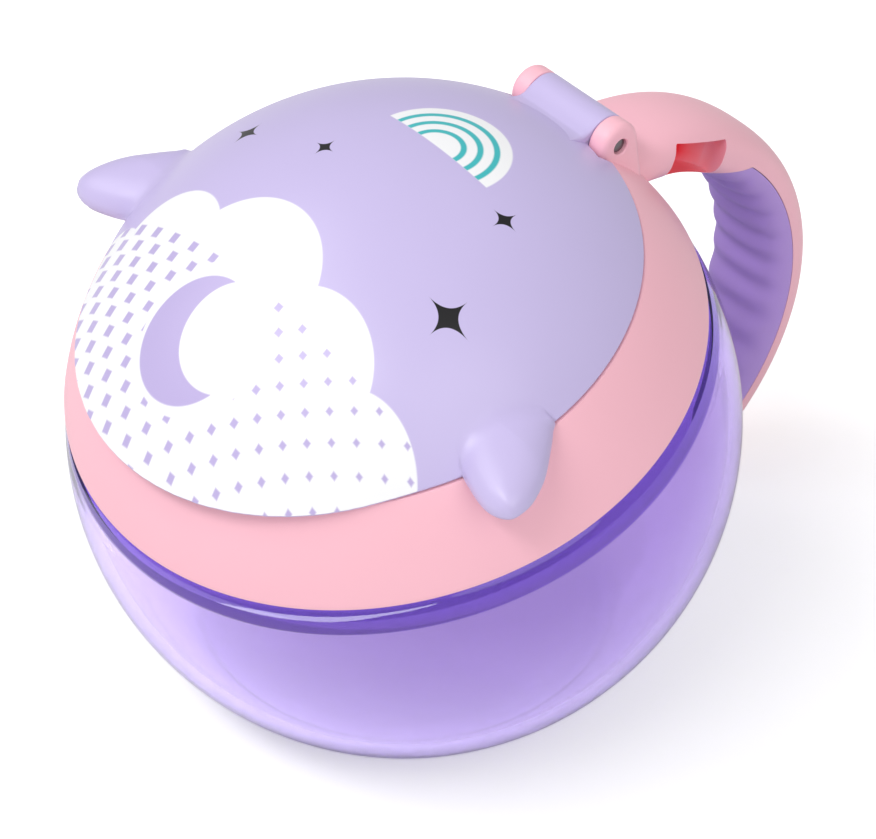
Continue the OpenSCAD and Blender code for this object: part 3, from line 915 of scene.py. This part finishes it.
slope_y, slope_z = path_slope(t, 0), path_slope(t, 1)
slope = (slope_y * slope_y + slope_z * slope_z) ** 0.5
end = (1 - ((t - 0.95) / 0.05).held() ** 2) ** 0.5
half_w = (HALF_W + (TIP_HALF_W - HALF_W) * t.held()) * end
half_t = (HALF_T + (TIP_HALF_T - HALF_T) * t.held()) * end
split = ((t - GRIP_START) / (GRIP_FULL - GRIP_START)).held() * math.radians(78) - math.radians(78)
rib_wave = 0.5 - 0.5 * ((t - GRIP_START) * (2 * math.pi / (1 - GRIP_START)) * size["Ribs"]).cosine()
swell = 1 - rib_wave * size["Rib height"] * size["Inner side"] / HALF_T


def rounded_field(x):
    """A sine or cosine bent so that a circle of them becomes a rounded box."""
    return x.sign() * abs(x) ** (2 / size["Section power"])


start_angle = split + size["Inner side"] * (math.pi - 2 * split)
span = math.pi - 2 * split + size["Inner side"] * (4 * split)
split_at = half_t * rounded_field(split.sine())


def section(share):
    """Sideways and outward place on the section, for a share of its arc."""
    angle = start_angle + span * share
    out = split_at + (half_t * rounded_field(angle.sine()) - split_at) * swell
    return half_w * rounded_field(angle.cosine()), out


ARC = 0.8
side_a, out_a = section((v / ARC).least(1.0))
side_0, out_0 = section(v * 0.0)
back = ((v - ARC) / (1 - ARC)).held()
side = side_a + (side_0 - side_a) * back
out = out_a + (out_0 - out_a) * back
outward_y = on_path(t, 0) - slope_z / slope * out
outward_z = on_path(t, 1) + slope_y / slope * out
where = leaning_vector(sweep, side, outward_y, outward_z)
moved = add(sweep, "GeometryNodeSetPosition", {"Geometry": grid, "Position": where}).outputs[0]
close_tree(sweep, moved, size)
ARM_SHARP = 50
arm_values = {"From": -0.045, "Inner side": 0.0}
grip_values = {"From": GRIP_START + 0.01, "Inner side": 1.0}
arm = finish_mesh(grow("handle_arm", sweep, arm_values, pink), ARM_SHARP)
grip = said(finish_mesh(grow("ribbed_grip", sweep, grip_values, grip_purple), ARM_SHARP))

# %% [markdown]
# Each side of the arm has a relief pocket, where the mould was cored out to keep the wall even.
# A solid of the pocket's shape cuts it, and hands its own material to the faces that it leaves:
# painted shade, the deep red that a narrow hollow in pink plastic shows in shade, as light
# bounces in it from wall to wall, paler on the pocket's floor and towards the end where the back
# wall runs out to the side, where the light reaches in.

# %% Relief pockets
POCKET_AT, POCKET_LEN, POCKET_DEPTH = 0.096, 12.4, 6.5
POCKET_ROOF, POCKET_LIP, RUN_OUT = 2.5, 0.8, 4.0
mid = np.array([on_path(POCKET_AT, 0), on_path(POCKET_AT, 1)])
pocket_lean = math.atan2(path_slope(POCKET_AT, 1), path_slope(POCKET_AT, 0))
POCKET_X = HALF_W - POCKET_DEPTH
# The pocket's own material is painted shade.
pocket_painted_shade, tree, shader = finish("pocket_painted_shade")
vector, (mx, my, mz) = mouth_coordinates(tree)
off_y, off_z = my - float(mid[0]), mz - float(mid[1])
lengthwise = off_y * math.cos(pocket_lean) + off_z * math.sin(pocket_lean)
raised = off_z * math.cos(pocket_lean) - off_y * math.sin(pocket_lean)
# Painted shade: deep red in the hollow, paler towards its floor and its run-out end, where light reaches.
shade = (1 - lengthwise.ramp(2.0, 5.8)) * raised.ramp(-4.6, -2.4)
tone = mixed(tree, shade ** 0.5, linear(250, 172, 188), linear(252, 10, 44))
dress(tree, shader, vector, tone, 0.45)


def pocket_cutter(sidewise):
    """The hollow as a solid: square at the root end, run out to the side at the far end."""
    half = POCKET_LEN / 2
    plan = [[0.5, -half], [0.15, -half + 0.15], [0, -half + 0.5]]
    plan += arc((RUN_OUT, half - RUN_OUT), RUN_OUT, 180, 90, 24)
    plan += [[2 * POCKET_DEPTH, half], [2 * POCKET_DEPTH, -half]]
    plan = np.array(plan)
    low, high = POCKET_LIP - HALF_T, HALF_T - POCKET_ROOF
    rings = []
    levels = ((0.7, low), (0.2, low + 0.2), (0, low + 0.7), (0, high - 0.7), (0.2, high - 0.2), (0.7, high))
    for inset, n in levels:
        shape = np.maximum(plan, [inset, -half + inset * 0.5])
        x = POCKET_X + shape[:, 0]
        along = np.minimum(shape[:, 1], half - inset * 0.3)
        y = mid[0] + along * math.cos(pocket_lean) - n * math.sin(pocket_lean)
        z = mid[1] + along * math.sin(pocket_lean) + n * math.cos(pocket_lean)
        rings.append(place(np.stack([x * sidewise, y, z], 1)))
    cutter = stack("cutter", rings)
    # The cutter hands this painted shade to the faces that it cuts.
    cutter.data.materials.append(pocket_painted_shade)
    return cutter


arm.data.materials.clear()
arm.data.materials.append(pink)
for sidewise in (1, -1):
    cutter = pocket_cutter(sidewise)
    cut = arm.modifiers.new("cut", "BOOLEAN")
    cut.operation, cut.object = "DIFFERENCE", cutter
    cut.solver, cut.material_mode = "EXACT", "TRANSFER"
    bake(arm)
    bpy.data.objects.remove(cutter)

smooth(arm.data, 32)
said(arm)
face_finish = np.zeros(len(arm.data.polygons), np.int32)
arm.data.polygons.foreach_get("material_index", face_finish)
print("arm faces by finish:", [m.name for m in arm.data.materials], np.bincount(face_finish))

# %% [markdown]
# ## Pin, flaps and threads
#
# What a closed cup hides still has to be there when the lid swings up or the collar screws off:
# the steel pin, a ring of soft silicone with six flaps that spring back behind a small hand,
# and the quick thread, four short ridges on the neck and four in the collar.

# %% Hinge pin
PIN_END = [(0.0, 10.4), (0.9, 10.4), (1.15, 10.32), (PIN_R, 10.1)]
a = np.linspace(0, 2 * np.pi, 64, endpoint=False)
rings = []
for r, x in [(r, -x) for r, x in PIN_END] + PIN_END[::-1]:
    rings.append(place(np.stack([np.full(64, x), PIN[0] + r * np.cos(a), PIN[1] + r * np.sin(a)], 1)))
pin = said(stack("steel_pin", rings))

# %% Flap ring and flaps
FLAP_ROOT, STOP_R, FLAP_HOLE = 27.993, 1.6, 2.5
FLAP_CORNER = FLAP_ROOT / math.cos(math.pi / 6)
FLAP_LOW, FLAP_HIGH = 25.805, 27.0
RING_LOW, RING_HIGH, RING_R, HOLE_ROUND, RIM_ROUND = 25.51, 27.3, 44.49, 0.25, 0.3
a = np.linspace(0, 2 * np.pi, 720, endpoint=False)
from_face = (a + np.pi / 6) % (np.pi / 3) - np.pi / 6
from_corner = a % (np.pi / 3) - np.pi / 6
hexagon = (FLAP_ROOT + 0.1) / np.cos(from_face)
reach = STOP_R ** 2 - (FLAP_CORNER * np.sin(from_corner)) ** 2
stops = np.where(reach > 0, FLAP_CORNER * np.cos(from_corner) + np.sqrt(np.maximum(reach, 0)), 0)
hole = np.maximum(hexagon, stops)
rim = RING_R + 0 * a
ring_outline = [
    (hole + HOLE_ROUND, RING_LOW), (hole, RING_LOW + HOLE_ROUND),
    (hole, RING_HIGH - HOLE_ROUND), (hole + HOLE_ROUND, RING_HIGH),
    (rim - RIM_ROUND, RING_HIGH), (rim, RING_HIGH - RIM_ROUND),
    (rim, RING_LOW + RIM_ROUND), (rim - RIM_ROUND, RING_LOW)]
flap_ring = said(lathe("flap_ring_skin", ring_outline, segments=len(a), loop=True))


def flap_outline():
    """Plan of the flap that points to +X, from the finger hole out to its root and back."""
    gap = 0.25 / math.sin(math.pi / 6)
    edge = np.array([math.cos(math.pi / 6), math.sin(math.pi / 6)])
    start = edge * FLAP_HOLE + [gap * 0.9, 0]
    corner = np.array([FLAP_ROOT, FLAP_CORNER * 0.5])
    stop = [np.array(p) for p in arc(corner, STOP_R, 206, 272, 10)]
    side = [start * (1 - k) + stop[0] * k for k in np.linspace(0, 0.98, 16)]
    half = side + stop
    root = [[FLAP_ROOT, y] for y in np.linspace(half[-1][1] - 0.6, 0, 8)]
    upper = [list(p) for p in half] + root
    lower = [[x, -y] for x, y in upper[::-1]][1:]
    tip = arc((gap * 0.4, 0), FLAP_HOLE, -24, 24, 7)
    return upper + lower + tip


plan = np.array(flap_outline())[::-1]
flaps = []
for i in range(6):
    c, s = math.cos(i * math.pi / 3), math.sin(i * math.pi / 3)
    rings = []
    for inset, z in ((0.3, FLAP_LOW), (0.08, FLAP_LOW + 0.08), (0, FLAP_LOW + 0.3),
                     (0, FLAP_HIGH - 0.3), (0.08, FLAP_HIGH - 0.08), (0.3, FLAP_HIGH)):
        shape = offset(plan, inset)
        turned = np.stack([shape[:, 0] * c - shape[:, 1] * s, shape[:, 0] * s + shape[:, 1] * c], 1)
        rings.append(place(np.column_stack([turned, np.full(len(turned), z)])))
    flaps.append(stack(f"soft_flap_{i + 1}", rings))
said(flaps[0])

# %% Screw threads
STARTS, LEAD = 4, 24.0
thread, size = geometry_tree("thread ridges", {
    "Rings": 60, "Round": 14, "Starts": STARTS, "Lead": LEAD, "Share of turn": 0.21,
    "Radius": NECK_R, "Ridge": 0.8, "Half width": 0.95, "Height": 18.3, "Phase": 0.0})
grid, u, v = grid_fields(thread, size["Rings"], size["Round"])
fade = 1 - abs(u * 2 - 1) ** 8
section_angle = v * (2 * math.pi)
angle = u * size["Share of turn"] * (2 * math.pi) + size["Phase"]
reach = size["Radius"] + size["Ridge"] * section_angle.cosine() * fade
x, y = reach * angle.cosine(), reach * angle.sine()
climb = size["Lead"] * size["Share of turn"] * u
z = size["Height"] + climb + size["Half width"] * section_angle.sine() * fade
spot = add(thread, "ShaderNodeCombineXYZ", {0: x * 0.001, 1: y * 0.001, 2: z * 0.001}).outputs[0]
ridge = add(thread, "GeometryNodeSetPosition", {"Geometry": grid, "Position": spot}).outputs[0]
spokes = add(thread, "GeometryNodeMeshLine", {"Count": size["Starts"], "Offset": (0, 0, 0)}).outputs[0]
step = Field(thread, add(thread, "GeometryNodeInputIndex").outputs[0]) * (2 * math.pi) / size["Starts"]
spin = add(thread, "ShaderNodeCombineXYZ", {2: step}).outputs[0]
spread = {"Points": spokes, "Instance": ridge, "Rotation": spin}
copies = add(thread, "GeometryNodeInstanceOnPoints", spread).outputs[0]
lean_back = {"Geometry": copies, "Rotation": (LEAN, 0, 0), "Translation": (0, 0, BALL_HEIGHT / 1000)}
leaned = add(thread, "GeometryNodeTransform", lean_back).outputs[0]
close_tree(thread, leaned, size)
neck_thread = said(finish_mesh(grow("neck_thread", thread, {"Radius": NECK_R}, tinted)))
inward = {"Radius": BORE_R, "Phase": math.pi / 4, "Ridge": -0.8}
collar_thread = said(finish_mesh(grow("collar_thread", thread, inward, pink)))

# %% [markdown]
# ## Putting the pieces on the frame
#
# Each skin takes its finish and rides on the body that its solid belongs to, and stands for that
# solid in the pictures. The solids stay in the simulation.

# %% Ride, replace and paint
pieces = [
    (bowl, tinted, "bowl", ["bowl"], "bowl_plastic"),
    (neck_thread, tinted, "bowl", [], "bowl_plastic"),
    (collar, pink, "collar", ["collar"], "collar_plastic"),
    (collar_thread, pink, "collar", [], "collar_plastic"),
    (arm, None, "collar", ["handle_frame"], "collar_plastic"),
    (grip, grip_purple, "collar", ["handle_grip"], "grip_soft"),
    (pin, steel, "collar", ["hinge_pin"], "pin_steel"),
    (lid, lilac, "lid", ["lid"], "lid_plastic"),
    (flap_ring, silicone, "flap_ring", ["flap_ring"], "flap_soft")]
for i, flap in enumerate(flaps):
    pieces.append((flap, silicone, f"flap_{i + 1}", [f"flap_{i + 1}"], "flap_soft"))
for obj, material, body, nodes, slot in pieces:
    if material:
        obj.data.materials.clear()
        obj.data.materials.append(material)
    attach(obj, body)
    if nodes:
        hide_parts(*nodes)
print("pieces dressed:", len(pieces))

# %% [markdown]
# ## Studio
#
# A pale floor runs out of sight, two large soft lamps stand to the left and in front, a dimmer
# one fills from the right, and the room itself gives the rest. The floor and the room show white
# to the camera and through the clear bowl, while the floor still takes the cup's soft shadow.
# Beyond the lamps' reach the floor gets a little more glow, so that it stays pale to its end. It
# lies a hair under the foot, so that the two faces aren't in one place.

# %% Floor and room
floor_mesh = bpy.data.meshes.new("floor")
UNDER_FOOT = 0.0002
floor_mesh.from_pydata([(-6, -6, 0), (6, -6, 0), (6, 6, 0), (-6, 6, 0)], [], [(0, 1, 2, 3)])
floor_mesh.transform(Matrix.Translation((0, 0, -UNDER_FOOT)))
shown("floor", floor_mesh)
FLOOR_LIFT, FAR_LIFT, FLOOR_IN_GLASS = 0.41, 0.24, 1.0


def rays_in(tree):
    """Two fields: 1 for the camera's own rays, and 1 for rays that come through a clear piece."""
    rays = add(tree, "ShaderNodeLightPath").outputs
    return Field(tree, rays["Is Camera Ray"]), Field(tree, rays["Is Transmission Ray"])


grey = (0.84, 0.84, 0.84, 1)
paper, tree, shader = finish("floor_paper", Base_Color=grey, Roughness=0.9, Specular_IOR_Level=0.0)
seen, through = rays_in(tree)
_, (floor_x, floor_y, _) = mouth_coordinates(tree)
beyond_lamps = ((floor_x ** 2 + floor_y ** 2) ** 0.5).ramp(300, 1500) * FAR_LIFT
lift = seen * (beyond_lamps + FLOOR_LIFT) + through * FLOOR_IN_GLASS
glow = add(tree, "ShaderNodeEmission", {"Color": (1, 1, 1, 1), "Strength": lift})
both = add(tree, "ShaderNodeAddShader", {0: shader.outputs[0], 1: glow.outputs[0]})
feed(tree, both.outputs[0], tree.nodes["Material Output"].inputs["Surface"])
floor_mesh.materials.append(paper)

world = bpy.data.worlds.new("studio")
bpy.context.scene.world = world
world.use_nodes = True
tree = world.node_tree
seen, through = rays_in(tree)
ROOM = 0.5
background = tree.nodes["Background"]
background.inputs["Color"].default_value = (1, 1, 1, 1)
feed(tree, seen.most(through) * (1 - ROOM) + ROOM, background.inputs["Strength"])
print("room level", ROOM)

# %% Lamps and camera


def lamp(name, spot, wide, tall, power, target=(0, 0, 0.045)):
    """A soft oval lamp at this spot, in metres, that faces the cup."""
    light = bpy.data.lights.new(name, "AREA")
    light.shape = "ELLIPSE"
    light.size, light.size_y = wide, tall
    light.energy = power
    obj = shown(name, light)
    obj.location = spot
    obj.rotation_euler = (Vector(target) - Vector(spot)).to_track_quat("-Z", "Y").to_euler()


lamp("key", (-0.55, -0.4, 0.85), 0.8, 0.8, 3.1)
lamp("top", (0.0, -0.62, 0.98), 0.95, 0.24, 4.4)
lamp("fill", (0.8, -0.2, 0.7), 0.8, 0.8, 2.5)

camera = bpy.data.cameras.new("camera")
camera.lens = 180
camera.sensor_width = 36
camera.clip_start, camera.clip_end = 0.01, 50
eye = shown("camera", camera)
right, up = Vector((0.6534, 0.7570, -0.0001)), Vector((-0.4925, 0.4253, 0.7594))
ahead = Vector((-0.5749, 0.4961, -0.6507))
axes = (right.normalized(), up.normalized(), -ahead.normalized())
eye.matrix_world = Matrix(axes).transposed().to_4x4()
eye.location = (0.4059, -0.34316, 0.49754)
bpy.context.scene.camera = eye
bpy.context.scene.view_settings.view_transform = "Standard"
print("camera", [round(x, 4) for x in eye.location])
